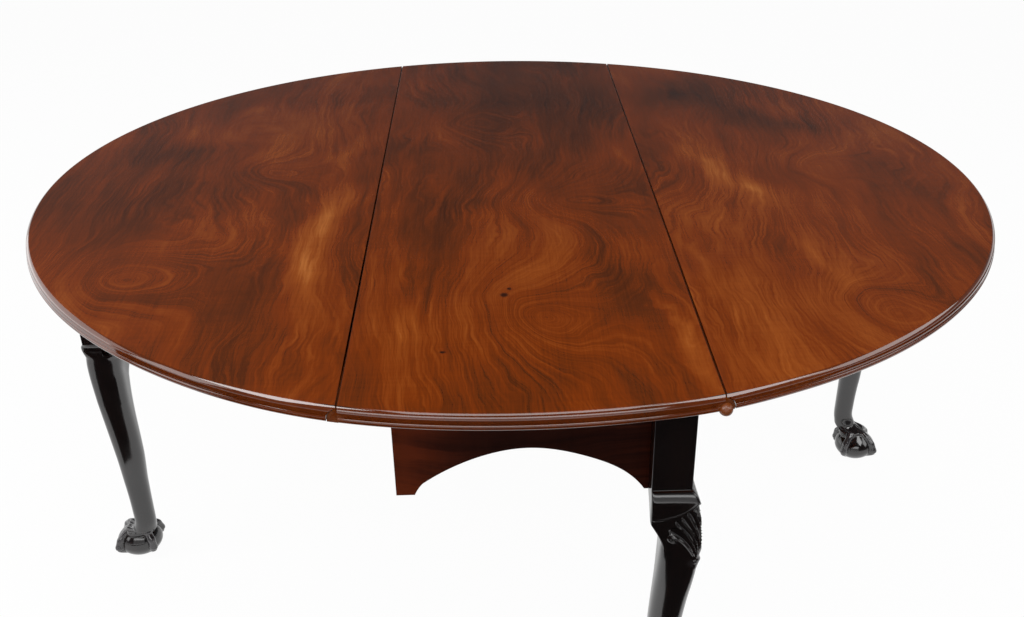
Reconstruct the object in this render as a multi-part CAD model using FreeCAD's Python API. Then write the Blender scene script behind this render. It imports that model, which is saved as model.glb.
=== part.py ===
# Round drop-leaf dining table with two swing-leg gates and ball-and-claw feet.
# Millimetres, Z up, origin on the floor under the middle of the top.
# Shown with both leaves raised and both gates swung out under them.
# The table is the same when turned half a turn about Z, so each left-hand or back piece
# is its right-hand or front partner turned by 180 degrees.
import math
import os

import FreeCAD, Part

V = FreeCAD.Vector

# Top: a round of three boards with a thumb nosing over a small bead along the rim
tableHeight = 710.0
topDiameter = 1680.0
topThick = 22.0
seamHalf = 244.0
seamGap = 1.5
nosingDepth = 9.0
nosingReach = 8.5
quirkHeight = 1.6
quirkDepth = 1.6
beadUndercut = 8.0

# Rule joint between the fixed board and the leaves
ruleStep = 4.0
ruleClear = 1.0
pinRise = 4.0

# Table hinges let into the underside
hingeSpacing = 480.0
hingeLength = 70.0
hingeThick = 2.2
hingeBarrel = 3.5
hingePin = 1.5
hingeFixedReach = 34.0
hingeLeafReach = 52.0
hingeMiddle = 23.0
hingeClear = 0.4
barrelRoom = 1.7
hingeScrewSpread = 24.0
boardScrewNear = 14.0
boardScrewFar = 26.0
leafScrewNear = 24.0
leafScrewFar = 42.0

# Frame, with depths measured down from the underside of the top
frameHalfX = 234.0
frameHalfY = 693.0
postSize = 60.0
postDepth = 198.0
apronSetback = 32.0
apronThick = 22.0
apronDepth = 215.0
archHalf = 156.0
archShoulder = 19.0
archRise = 76.0
archHaunchDrop = 18.0
archSideRise = 34.5
ogeeWidth = 12.0
ogeeSwell = 1.0
innerRailThick = 22.0
innerRailDepth = 183.0
packingThick = 15.0
packingShort = 25.0
swingRailThick = 24.0
swingRailDepth = 168.0
crossRailThick = 24.0
crossRailDepth = 100.0
tenonThick = 10.0
tenonLength = 30.0
tenonShoulder = 18.0
blockSize = 30.0
blockLength = 90.0
blockNear = 190.0
blockFar = 520.0
cornerBlock = 34.0
cornerBlockLength = 125.0
cornerBlockDrop = 33.0

# Gates
pivotY = 145.0
knuckleCount = 5
knucklePin = 4.0
knucklePinTail = 6.0
knuckleGap = 0.6
swingClear = 1.0
restClear = 0.5
notchClear = 1.5
runClear = 0.3

# Cabriole leg sections from the post down: share of the height, outward offset,
# share of the post's size, squareness and extra swell toward the knee
legSections = (
    (1.008, 0.0, 0.967, 9.0, 0.0),
    (0.996, 1.0, 0.973, 8.0, 0.0),
    (0.971, 7.0, 0.980, 6.0, 1.0),
    (0.939, 15.0, 1.007, 4.6, 4.0),
    (0.898, 20.5, 1.020, 3.8, 6.0),
    (0.847, 23.5, 0.987, 3.4, 6.0),
    (0.776, 23.5, 0.940, 3.2, 4.0),
    (0.673, 20.0, 0.880, 3.0, 2.0),
    (0.551, 12.5, 0.800, 2.9, 1.0),
    (0.429, 6.5, 0.720, 2.7, 0.0),
    (0.306, 3.8, 0.640, 2.5, 0.0),
    (0.229, 5.0, 0.613, 2.3, 0.0),
    (0.188, 10.0, 0.633, 2.2, 0.0),
    (0.155, 19.0, 0.700, 2.1, 0.0),
    (0.122, 31.0, 0.733, 2.0, 0.0),
)
sectionPoints = 32
footOffset = 42.0
ballRadius = 36.0
ballFlat = 1.5
toeReach = 3.0
# Toe sections from the ankle to the talon: angle from the top of the ball, radius
toeSections = ((20.0, 9.5), (38.0, 9.0), (55.0, 10.0), (72.0, 8.5), (88.0, 9.5), (106.0, 7.5), (128.0, 4.0))

# Small fixings
pegRadius = 4.0
pegDepth = 26.0
pegInset = 25.0
screwRadius = 1.75
screwHead = 4.0
screwLength = 11.0
fixScrewRadius = 2.2
fixScrewHead = 4.5
fixScrewHeadHeight = 3.0
fixScrewBite = 11.0
wellDepth = 5.0
wellClear = 1.0
fitClear = 0.05

# Values that follow from the ones above
topRadius = topDiameter / 2
topUnder = tableHeight - topThick
neckRadius = topRadius - quirkDepth
pinX = seamHalf - seamGap / 2
pinZ = topUnder + pinRise
ruleRadius = topThick - ruleStep - pinRise
postHalf = postSize / 2
postX = frameHalfX - postHalf
postY = frameHalfY - postHalf
postBottom = topUnder - postDepth
innerFaceX = frameHalfX - postSize
innerFaceY = frameHalfY - postSize
apronFront = frameHalfY - apronSetback
apronBack = apronFront - apronThick
apronFoot = topUnder - apronDepth
swingRailIn = frameHalfX - swingRailThick
swingRailHalf = swingRailThick / 2
swingRailBottom = topUnder - swingRailDepth
innerRailOut = swingRailIn - packingThick
innerRailIn = innerRailOut - innerRailThick
innerRailBottom = topUnder - innerRailDepth
tenonLow = swingRailBottom + tenonShoulder
tenonHigh = topUnder - tenonShoulder
pegHeights = (tenonLow + pegInset, tenonHigh - pegInset)
pivotX = frameHalfX - swingRailHalf
gateTop = topUnder - restClear
gatePostX = pivotX + postY - pivotY
gatePostY = pivotY + pivotX - postX
ballHeight = ballRadius - ballFlat
blockLow = topUnder - blockSize
hingeStations = (-hingeSpacing, 0.0, hingeSpacing)
blockStations = (-blockFar, -blockNear, blockNear, blockFar)
diagonal = math.sqrt(0.5)


def box(x0, x1, y0, y1, z0, z1):
    return Part.makeBox(x1 - x0, y1 - y0, z1 - z0, V(x0, y0, z0))


def rod(radius, start, end):
    axis = end - start
    return Part.makeCylinder(radius, axis.Length, start, axis)


def turned(shape, degrees, cx=0.0, cy=0.0):
    out = shape.copy()
    out.rotate(V(cx, cy, 0), V(0, 0, 1), degrees)
    return out


def moved(shape, x, y):
    out = shape.copy()
    out.translate(V(x, y, 0))
    return out


def line(start, end):
    return Part.makeLine(start, end)


def arc(start, middle, end):
    return Part.Arc(start, middle, end).toShape()


def prism(edges, direction):
    return Part.Face(Part.Wire(edges)).extrude(direction)


def joined(shapes):
    return shapes[0].fuse(shapes[1:]).removeSplitter()


def save(name, shapes):
    solids = [s for shape in shapes for s in shape.Solids]
    bad = [s for s in solids if not s.isValid()]
    print(name, len(solids), "solids", "INVALID" if bad else "ok")
    group = solids[0] if len(solids) == 1 else Part.makeCompound(solids)
    group.exportStep("parts/" + name + ".step")


# The whole moulded round before it is divided
def mouldedDisc():
    top, under = tableHeight, topUnder
    quirkTop = top - nosingDepth
    beadTop = quirkTop - quirkHeight
    noseIn = neckRadius - nosingReach
    noseMid = V(noseIn + nosingReach * diagonal, 0, quirkTop + nosingDepth * diagonal)
    beadOut = topRadius - beadUndercut
    beadMid = V(topRadius - beadUndercut / 8, 0, under + (beadTop - under) * 0.55)
    edges = [line(V(0, 0, top), V(noseIn, 0, top)),
             arc(V(noseIn, 0, top), noseMid, V(neckRadius, 0, quirkTop)),
             line(V(neckRadius, 0, quirkTop), V(neckRadius, 0, beadTop)),
             arc(V(neckRadius, 0, beadTop), beadMid, V(beadOut, 0, under)),
             line(V(beadOut, 0, under), V(0, 0, under)),
             line(V(0, 0, under), V(0, 0, top))]
    return Part.Face(Part.Wire(edges)).revolve(V(0, 0, 0), V(0, 0, 1), 360)


# Convex half of the right-hand rule joint, on the fixed board
def ovoloStrip():
    y0 = -topRadius
    step, tip = tableHeight - ruleStep, pinX + ruleRadius
    root = pinX - ruleStep
    middle = V(pinX + ruleRadius * diagonal, y0, pinZ + ruleRadius * diagonal)
    edges = [line(V(root, y0, step), V(pinX, y0, step)),
             arc(V(pinX, y0, step), middle, V(tip, y0, pinZ)),
             line(V(tip, y0, pinZ), V(tip, y0, topUnder)),
             line(V(tip, y0, topUnder), V(root, y0, topUnder)),
             line(V(root, y0, topUnder), V(root, y0, step))]
    strip = prism(edges, V(0, topDiameter, 0))
    return strip.common(Part.makeCylinder(neckRadius, topThick, V(0, 0, topUnder)))


# All that is cut from the round to leave the right-hand leaf with its hollow edge
def leafCutter():
    reach = ruleRadius + ruleClear
    edge = seamHalf + seamGap / 2
    lip = pinZ + math.sqrt(reach ** 2 - (edge - pinX) ** 2)
    y0, far = -topDiameter, -topDiameter
    high, low = tableHeight + topThick, topUnder - topThick
    middle = V(pinX + reach * diagonal, y0, pinZ + reach * diagonal)
    edges = [line(V(far, y0, high), V(edge, y0, high)),
             line(V(edge, y0, high), V(edge, y0, lip)),
             arc(V(edge, y0, lip), middle, V(pinX + reach, y0, pinZ)),
             line(V(pinX + reach, y0, pinZ), V(pinX + reach, y0, low)),
             line(V(pinX + reach, y0, low), V(far, y0, low)),
             line(V(far, y0, low), V(far, y0, high))]
    return prism(edges, V(0, 2 * topDiameter, 0))


# Countersunk hinge screws, as solids and, with no clearance, as their holes
def hingeScrews(y, side, clear=0.0):
    near, far = (pinX - boardScrewNear, pinX - boardScrewFar)
    if side == "leaf":
        near, far = (pinX + leafScrewNear, pinX + leafScrewFar)
    screws = []
    for x, along in ((near, y - hingeScrewSpread), (near, y + hingeScrewSpread), (far, y)):
        spot = V(x, along, topUnder)
        head = Part.makeCone(screwHead - clear, screwRadius - clear, hingeThick, spot)
        shank = Part.makeCylinder(screwRadius - clear, screwLength - clear, spot)
        screws.append(head.fuse(shank).removeSplitter())
    return screws


# One half of a right-hand hinge: the board's half has the middle knuckle, the leaf's the outer two
def hingeFlap(y, side):
    half, mid = hingeLength / 2, hingeMiddle / 2
    low, high = topUnder, topUnder + hingeThick
    relief = hingeBarrel + 3 * hingeClear
    if side == "board":
        plate = box(pinX - hingeFixedReach, pinX, y - half, y + half, low, high)
        spans = ((y - mid + hingeClear, y + mid - hingeClear),)
        gaps = ((y - half, spans[0][0]), (spans[0][1], y + half))
        bore = hingePin
    else:
        plate = box(pinX, pinX + hingeLeafReach, y - half, y + half, low, high)
        spans = ((y - half, y - mid), (y + mid, y + half))
        gaps = ((y - mid, y + mid),)
        bore = hingePin + runClear
    cuts = [box(pinX - relief, pinX + relief, a, b, low - hingeThick, high + hingeThick) for a, b in gaps]
    plate = plate.cut(Part.makeCompound(cuts))
    barrels = [rod(hingeBarrel, V(pinX, a, pinZ), V(pinX, b, pinZ)) for a, b in spans]
    holes = [rod(bore, V(pinX, y - half, pinZ), V(pinX, y + half, pinZ))] + hingeScrews(y, side)
    return joined([plate] + barrels).cut(Part.makeCompound(holes))


# Pockets for a hinge: plate and barrel in the fixed board, with room for the leaf's plate under the ovolo
def boardRecess(y):
    half = hingeLength / 2 + hingeClear
    low = topUnder - hingeThick
    room = hingeBarrel + barrelRoom
    plateTop = topUnder + hingeThick
    tip = pinX + ruleRadius + ruleClear
    return [box(pinX - room, pinX + room, y - half, y + half, low, pinZ + hingeBarrel + 2 * hingeClear),
            box(pinX - hingeFixedReach, pinX, y - half, y + half, low, plateTop),
            box(pinX, tip, y - half, y + half, low, plateTop + 3 * hingeClear)]


def leafRecess(y):
    half = hingeLength / 2
    return [box(pinX + ruleRadius, pinX + hingeLeafReach, y - half, y + half,
                topUnder - hingeThick, topUnder + hingeThick)]


# Screw up through a glue block into the fixed board
def fixScrew(x, y, clear=0.0):
    seat = blockLow + wellDepth
    head = Part.makeCylinder(fixScrewHead - clear, fixScrewHeadHeight, V(x, y, seat))
    length = topUnder + fixScrewBite - seat
    return head.fuse(Part.makeCylinder(fixScrewRadius - clear, length, V(x, y, seat))).removeSplitter()


def glueBlock(x, y):
    half = blockSize / 2
    block = box(x - half, x + half, y - blockLength / 2, y + blockLength / 2, blockLow, topUnder)
    well = Part.makeCylinder(fixScrewHead + wellClear, wellDepth, V(x, y, blockLow))
    return block.cut(Part.makeCompound([well, fixScrew(x, y)]))


# Upright three-cornered glue block at the frame's inner corner (x, y), growing along sx and sy
def cornerGlueBlock(x, y, sx, sy):
    top = topUnder - cornerBlockDrop
    spots = [V(x, y, top), V(x + sx * cornerBlock, y, top), V(x, y + sy * cornerBlock, top), V(x, y, top)]
    return Part.Face(Part.makePolygon(spots)).extrude(V(0, 0, -cornerBlockLength))


# Tenons and their pegs: the front apron's, and a rail's at the right-hand post ahead (1) or behind (-1)
def apronTenon():
    middle = -(apronFront + apronBack) / 2
    return box(innerFaceX, innerFaceX + tenonLength, middle - tenonThick / 2, middle + tenonThick / 2,
               tenonLow, tenonHigh)


def railTenon(way):
    low, high = sorted((way * innerFaceY, way * (innerFaceY + tenonLength)))
    return box(pivotX - tenonThick / 2, pivotX + tenonThick / 2, low, high, tenonLow, tenonHigh)


def apronPegs(clear=0.0):
    x = innerFaceX + tenonLength / 2
    return [rod(pegRadius - clear, V(x, -frameHalfY, z), V(x, -apronBack, z)) for z in pegHeights]


def railPegs(way, clear=0.0):
    y = way * (innerFaceY + tenonLength / 2)
    return [rod(pegRadius - clear, V(frameHalfX, y, z), V(frameHalfX - pegDepth, y, z)) for z in pegHeights]


# Front apron: arched lower edge that ends in an ogee at the bare left end and runs straight down
# to the fixed leg on the right, where its tenon is
def makeApron():
    y = -apronFront
    shoulder, crown = apronFoot + archShoulder, apronFoot + archRise
    footIn = archHalf + ogeeWidth
    haunch = crown - archHaunchDrop
    spots = [(-archHalf, shoulder), (-archHalf * 0.55, haunch), (0.0, crown), (archHalf * 0.55, haunch),
             (archHalf * 0.86, apronFoot + archSideRise), (footIn, apronFoot)]
    arch = Part.BSplineCurve()
    arch.interpolate([V(x, y, z) for x, z in spots])
    swell = V(-archHalf - ogeeWidth / 2 - ogeeSwell / 2, y, (shoulder + apronFoot) / 2 + ogeeSwell)
    edges = [arch.toShape(), arc(V(-archHalf, y, shoulder), swell, V(-footIn, y, apronFoot))]
    edges += [line(V(footIn, y, apronFoot), V(innerFaceX, y, apronFoot)),
              line(V(innerFaceX, y, apronFoot), V(innerFaceX, y, topUnder)),
              line(V(innerFaceX, y, topUnder), V(-innerRailOut, y, topUnder)),
              line(V(-innerRailOut, y, topUnder), V(-innerRailOut, y, apronFoot)),
              line(V(-innerRailOut, y, apronFoot), V(-footIn, y, apronFoot))]
    board = prism(Part.__sortEdges__(edges), V(0, apronThick, 0))
    return joined([board, apronTenon()]).cut(Part.makeCompound(apronPegs()))


# Wooden knuckle: fingers by turns on the fixed rail and on the swing rail
def fingerSpans():
    step = (gateTop - swingRailBottom) / knuckleCount
    return [(swingRailBottom + k * step, swingRailBottom + (k + 1) * step) for k in range(knuckleCount)]


def finger(low, high, rootY):
    near, far = sorted((rootY, pivotY))
    return [box(swingRailIn, frameHalfX, near, far, low, high),
            Part.makeCylinder(swingRailHalf, high - low, V(pivotX, pivotY, low))]


def pivotBore(radius):
    return Part.makeCylinder(radius, tableHeight, V(pivotX, pivotY, 0))


def makeKnuckleRail():
    root = pivotY - swingRailHalf - swingClear
    pieces = [box(swingRailIn, frameHalfX, -innerFaceY, root, swingRailBottom, topUnder), railTenon(-1)]
    for low, high in fingerSpans()[0::2]:
        pieces += finger(low, high, root)
    return joined(pieces).cut(Part.makeCompound([pivotBore(knucklePin)] + railPegs(-1)))


# Swing rail in its closed place, along the frame
def makeSwingRail():
    root = pivotY + swingRailHalf + swingClear
    pieces = [box(swingRailIn, frameHalfX, root, innerFaceY, swingRailBottom, gateTop), railTenon(1)]
    for low, high in fingerSpans()[1::2]:
        pieces += finger(low + knuckleGap, high - knuckleGap, root)
    return joined(pieces).cut(Part.makeCompound([pivotBore(knucklePin + runClear)] + railPegs(1)))


# The right-hand gate opens by a quarter turn about its knuckle
def opened(shape):
    return turned(shape, -90, pivotX, pivotY)


# Leg in its own frame: post centred on the Z axis, knee toward +X and -Y
def legSection(share, offset, size, power, knee):
    half = postHalf * size
    points = []
    for k in range(sectionPoints):
        angle = 2 * math.pi * k / sectionPoints
        c, s = math.cos(angle), math.sin(angle)
        toward = max(0.0, (c - s) * diagonal)
        shift = (offset + knee * toward ** 3) * diagonal
        x = half * math.copysign(abs(c) ** (2 / power), c) + shift
        y = half * math.copysign(abs(s) ** (2 / power), s) - shift
        points.append(V(x, y, postBottom * share))
    curve = Part.BSplineCurve()
    curve.interpolate(points, True)
    return Part.Wire(curve.toShape())


def toe(direction, ballCentre):
    angle = math.radians(direction)
    out, up = V(math.cos(angle), math.sin(angle), 0), V(0, 0, 1)
    wires = []
    for bend, radius in toeSections:
        t = math.radians(bend)
        spot = ballCentre + (out * math.sin(t) + up * math.cos(t)) * (ballRadius + toeReach)
        wires.append(Part.Wire(Part.makeCircle(radius, spot, out * math.cos(t) - up * math.sin(t))))
    return Part.makeLoft(wires, True, False)


def makeLeg(top):
    post = box(-postHalf, postHalf, -postHalf, postHalf, postBottom, top)
    shaft = Part.makeLoft([legSection(*row) for row in legSections], True, False)
    ballCentre = V(footOffset * diagonal, -footOffset * diagonal, ballHeight)
    toes = [toe(-45 + 90 * k, ballCentre) for k in range(4)]
    reach = postSize + footOffset + ballRadius
    aboveFloor = box(-reach, reach, -reach, reach, 0, tableHeight)
    return post.fuse([shaft, Part.makeSphere(ballRadius, ballCentre)] + toes).common(aboveFloor)


# Fixed leg at the front right, mortised for the apron and the knuckle rail
def makeFixedLeg():
    mortises = [apronTenon(), railTenon(-1)] + apronPegs() + railPegs(-1)
    return moved(makeLeg(topUnder), postX, -postY).cut(Part.makeCompound(mortises))


# Swing leg at the right, notched to close round the bare corner of the frame
def makeGateLeg():
    notch = box(innerFaceX - notchClear, innerRailOut + notchClear, innerFaceY - notchClear,
                apronFront + notchClear, apronFoot - notchClear, tableHeight)
    cuts = [opened(cut) for cut in [notch, railTenon(1)] + railPegs(1)]
    return moved(makeLeg(gateTop), gatePostX, gatePostY).cut(Part.makeCompound(cuts))


os.makedirs("parts", exist_ok=True)

# Top boards
disc = mouldedDisc()
boardCuts, leafCuts = [], []
for y in hingeStations:
    boardCuts += boardRecess(y) + hingeScrews(y, "board")
    leafCuts += leafRecess(y) + hingeScrews(y, "leaf")
blockSpots = [(side * (innerRailIn - blockSize / 2), y) for y in blockStations for side in (-1, 1)]
boardCuts += [turned(cut, 180) for cut in boardCuts] + [fixScrew(x, y) for x, y in blockSpots]
slab = box(-pinX, pinX, -topRadius, topRadius, topUnder, tableHeight)
strip = ovoloStrip()
centerBoard = joined([disc.common(slab), strip, turned(strip, 180)])
rightLeaf = disc.cut(leafCutter()).cut(Part.makeCompound(leafCuts))
save("top_center_board", [centerBoard.cut(Part.makeCompound(boardCuts))])

# Pieces that come once on each side
hingeEnd = V(0, hingeLength / 2, 0)
hingeSpots = [V(pinX, y, pinZ) for y in hingeStations]
pinFoot = V(pivotX, pivotY, swingRailBottom - knucklePinTail)
rightSide = {
    "leaf": [rightLeaf],
    "hinge_board_flaps": [hingeFlap(y, "board") for y in hingeStations],
    "hinge_leaf_flaps": [hingeFlap(y, "leaf") for y in hingeStations],
    "hinge_pins": [rod(hingePin - fitClear, spot - hingeEnd, spot + hingeEnd) for spot in hingeSpots],
    "hinge_board_screws": [s for y in hingeStations for s in hingeScrews(y, "board", fitClear)],
    "hinge_leaf_screws": [s for y in hingeStations for s in hingeScrews(y, "leaf", fitClear)],
    "inner_rail": [box(innerRailIn, innerRailOut, -innerFaceY, apronBack, innerRailBottom, topUnder)],
    "packing_rail": [box(innerRailOut, swingRailIn, -innerFaceY, pivotY - packingShort,
                         swingRailBottom, topUnder)],
    "knuckle_rail": [makeKnuckleRail()],
    "knuckle_pin": [rod(knucklePin - fitClear, pinFoot, V(pivotX, pivotY, gateTop - restClear))],
    "swing_rail": [opened(makeSwingRail())],
    "gate_leg": [makeGateLeg()],
    "gate_pegs": [opened(peg) for peg in railPegs(1, fitClear)],
}
for name, shapes in rightSide.items():
    save("right_" + name, shapes)
    save("left_" + name, [turned(shape, 180) for shape in shapes])

# Ends and middle of the fixed frame
apron, fixedLeg = makeApron(), makeFixedLeg()
save("front_apron", [apron])
save("back_apron", [turned(apron, 180)])
save("front_right_leg", [fixedLeg])
save("back_left_leg", [turned(fixedLeg, 180)])
save("middle_cross_rail", [box(-innerRailIn, innerRailIn, -crossRailThick / 2, crossRailThick / 2,
                               topUnder - crossRailDepth, topUnder)])
save("top_glue_blocks", [glueBlock(x, y) for x, y in blockSpots])
save("top_fixing_screws", [fixScrew(x, y, fitClear) for x, y in blockSpots])
save("corner_glue_blocks", [cornerGlueBlock(sx * innerRailIn, sy * apronBack, -sx, -sy)
                            for sx in (-1, 1) for sy in (-1, 1)])
fixedPegs = apronPegs(fitClear) + railPegs(-1, fitClear)
save("fixed_leg_pegs", fixedPegs + [turned(peg, 180) for peg in fixedPegs])
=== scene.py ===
import math

import bmesh
import bpy
from mathutils import Matrix, Vector


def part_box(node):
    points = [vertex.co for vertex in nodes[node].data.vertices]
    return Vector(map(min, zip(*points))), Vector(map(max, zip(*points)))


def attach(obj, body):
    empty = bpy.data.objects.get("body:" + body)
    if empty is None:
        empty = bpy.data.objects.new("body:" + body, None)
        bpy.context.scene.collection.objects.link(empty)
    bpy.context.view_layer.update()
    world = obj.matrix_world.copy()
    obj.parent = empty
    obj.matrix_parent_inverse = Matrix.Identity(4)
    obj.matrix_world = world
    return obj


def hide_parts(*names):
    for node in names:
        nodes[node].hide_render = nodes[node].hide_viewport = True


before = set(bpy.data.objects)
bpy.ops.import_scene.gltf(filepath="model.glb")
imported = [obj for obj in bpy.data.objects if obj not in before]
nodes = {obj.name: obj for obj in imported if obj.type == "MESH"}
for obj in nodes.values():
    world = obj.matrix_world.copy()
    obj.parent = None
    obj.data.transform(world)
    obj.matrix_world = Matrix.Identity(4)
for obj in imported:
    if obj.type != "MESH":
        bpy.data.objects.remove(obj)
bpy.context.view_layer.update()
print("frame loaded:", len(nodes), "nodes")


# Small helpers for meshes

meshCare = {"mergeDistance": 1e-6, "flatTurn": 0.5, "flatLimit": 0.99995}


def meshFrom(name, bm):
    mesh = bpy.data.meshes.new(name)
    bm.to_mesh(mesh)
    bm.free()
    return mesh


def linked(name, data):
    thing = bpy.data.objects.new(name, data)
    bpy.context.scene.collection.objects.link(thing)
    return thing


def newPiece(name, bm, body, material, smoothAngle=35):
    mesh = meshFrom(name, bm)
    mesh.materials.append(material)
    mesh.set_sharp_from_angle(angle=math.radians(smoothAngle))
    for face in mesh.polygons:
        face.use_smooth = max(abs(a) for a in face.normal) < meshCare["flatLimit"]  # flat boards stay flat
    piece = linked(name, mesh)
    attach(piece, body)
    return piece


def smoothStep(low, high, value):
    t = min(max((value - low) / (high - low), 0.0), 1.0)
    return t * t * (3 - 2 * t)


def bump(value, centre, width):
    return math.exp(-((value - centre) / width) ** 2)


def boxMesh(bm, low, high):
    size = Vector(high) - Vector(low)
    middle = (Vector(low) + Vector(high)) / 2
    place = Matrix.Translation(middle) @ Matrix.Diagonal((size.x, size.y, size.z, 1))
    bmesh.ops.create_cube(bm, size=1, matrix=place)


def carved(base, cutter, operation):
    # boolean of two bmeshes, handed back as one new bmesh
    made = [linked(label, meshFrom(label, bm)) for label, bm in (("base", base), ("cutter", cutter))]
    step = made[0].modifiers.new("cut", "BOOLEAN")
    step.operation, step.solver, step.object = operation, "EXACT", made[1]
    settled = made[0].evaluated_get(bpy.context.evaluated_depsgraph_get())
    whole = bpy.data.meshes.new_from_object(settled)
    result = bmesh.new()
    result.from_mesh(whole)
    bpy.data.meshes.remove(whole)
    for thing in made:
        mesh = thing.data
        bpy.data.objects.remove(thing)
        bpy.data.meshes.remove(mesh)
    return result


def sharpEdges(bm, degrees):
    limit = math.radians(degrees)
    return [e for e in bm.edges if len(e.link_faces) == 2 and e.calc_face_angle(0) > limit]


def easeEdges(bm, edges, width, segments, clamp=False):
    bmesh.ops.bevel(bm, geom=edges, offset=width, offset_type="OFFSET", affect="EDGES", segments=segments,
                    profile=0.5, material=-1, clamp_overlap=clamp)


def mergedCopy(nodeName):
    # a frame piece's loose triangles, merged back to whole faces
    bm = bmesh.new()
    bm.from_mesh(nodes[nodeName].data)
    bmesh.ops.remove_doubles(bm, verts=bm.verts, dist=meshCare["mergeDistance"])
    flatTurn = math.radians(meshCare["flatTurn"])
    bmesh.ops.dissolve_limit(bm, angle_limit=flatTurn, verts=bm.verts, edges=bm.edges)
    return bm


def shiftGrown(bm, grown, step):
    # moves the vertices that an extrude has just made
    bmesh.ops.translate(bm, vec=step, verts=[v for v in grown["geom"] if isinstance(v, bmesh.types.BMVert)])


def spunLine(bm, spots, steps):
    # a line of vertices, turned once round the upright axis
    line = [bm.verts.new(spot) for spot in spots]
    for first, second in zip(line, line[1:]):
        bm.edges.new((first, second))
    bmesh.ops.spin(bm, geom=bm.verts[:] + bm.edges[:], cent=(0, 0, 0), axis=(0, 0, 1), angle=2 * math.pi,
                   steps=steps, use_merge=True)


# Small helpers for materials

def newMaterial(name):
    material = bpy.data.materials.new(name)
    material.use_nodes = True
    tree = material.node_tree
    return material, tree, tree.nodes["Principled BSDF"]


def shaderNode(tree, kind, sockets=None, **settings):
    made = tree.nodes.new(kind)
    for key, value in settings.items():
        setattr(made, key, value)
    for key, value in (sockets or {}).items():
        if isinstance(value, bpy.types.NodeSocket):
            tree.links.new(value, made.inputs[key])
        else:
            made.inputs[key].default_value = value
    return made


def mathNode(tree, operation, first, second=0.0, third=0.0, clamp=False):
    return shaderNode(tree, "ShaderNodeMath", {0: first, 1: second, 2: third},
                      operation=operation, use_clamp=clamp).outputs[0]


def rampNode(tree, factor, stops, interpolation="EASE"):
    made = shaderNode(tree, "ShaderNodeValToRGB", {0: factor})
    ramp = made.color_ramp
    ramp.interpolation = interpolation
    while len(ramp.elements) < len(stops):
        ramp.elements.new(0.5)
    for element, (spot, color) in zip(ramp.elements, stops):
        element.position = spot
        element.color = (*color, 1)
    return made.outputs[0]


def mixColor(tree, factor, first, second, blend="MIX"):
    made = shaderNode(tree, "ShaderNodeMix", data_type="RGBA", blend_type=blend)
    for socket, value in ((made.inputs[0], factor), (made.inputs[6], first), (made.inputs[7], second)):
        if isinstance(value, bpy.types.NodeSocket):
            tree.links.new(value, socket)
        else:
            socket.default_value = value if isinstance(value, float) else (*value, 1)
    return made.outputs[2]


def noiseNode(tree, vector, scale, detail, roughness=0.5):
    sockets = {"Vector": vector, "Scale": scale, "Detail": detail, "Roughness": roughness}
    return shaderNode(tree, "ShaderNodeTexNoise", sockets)


def mapNode(tree, vector, location=(0, 0, 0), rotation=(0, 0, 0), scale=(1, 1, 1), kind="POINT"):
    sockets = {"Vector": vector, "Location": location, "Rotation": rotation, "Scale": scale}
    return shaderNode(tree, "ShaderNodeMapping", sockets, vector_type=kind).outputs[0]


def rangeNode(tree, value, limits):
    # low and high of the value, then what these become
    low, high, start, end = limits
    return shaderNode(tree, "ShaderNodeMapRange", {0: value, 1: low, 2: high, 3: start, 4: end}).outputs[0]


def swingNode(tree, noise, amount, total):
    # adds a noise that swings about its middle
    return mathNode(tree, "MULTIPLY_ADD", mathNode(tree, "SUBTRACT", noise, 0.5), amount, total)


def vectorNode(tree, operation, sockets):
    return shaderNode(tree, "ShaderNodeVectorMath", sockets, operation=operation).outputs


def attributeNode(tree, name):
    return shaderNode(tree, "ShaderNodeAttribute", attribute_name=name).outputs["Fac"]


spotReach = {"z": 0.7, "up": 9.0}  # every soft spot goes down through the boards


def softSpots(tree, vector, spots, total):
    # adds soft ellipses: centre x and y, half width, half length, turn in degrees, amount
    for x, y, wide, long, turn, amount in spots:
        inside = mapNode(tree, vector, (x, y, spotReach["z"]), (0, 0, math.radians(turn)),
                         (wide, long, spotReach["up"]), "TEXTURE")
        glow = shaderNode(tree, "ShaderNodeTexGradient", {"Vector": inside}, gradient_type="QUADRATIC_SPHERE")
        total = mathNode(tree, "MULTIPLY_ADD", glow.outputs[1], amount, total)
    return total


def growthField(tree, look, coords, shifted):
    # its level lines are the grain, closing up into rings around the eyes
    field = vectorNode(tree, "DOT_PRODUCT", {0: coords, 1: look["across"]})[1]
    for scale, stretch, amount in look["bends"]:
        wave = noiseNode(tree, mapNode(tree, shifted, scale=stretch), scale, 1.0).outputs[0]
        field = swingNode(tree, wave, amount, field)
    swirl = noiseNode(tree, shifted, look["swirlScale"], 2.0).outputs["Color"]
    swirl = vectorNode(tree, "SUBTRACT", {0: swirl, 1: (0.5, 0.5, 0.5)})[0]
    swirl = vectorNode(tree, "SCALE", {0: swirl, "Scale": look["swirl"]})[0]
    bent = vectorNode(tree, "ADD", {0: coords, 1: swirl})[0]
    return softSpots(tree, bent, look["eyes"], field), softSpots(tree, bent, look["clouds"], 0.0)


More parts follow.
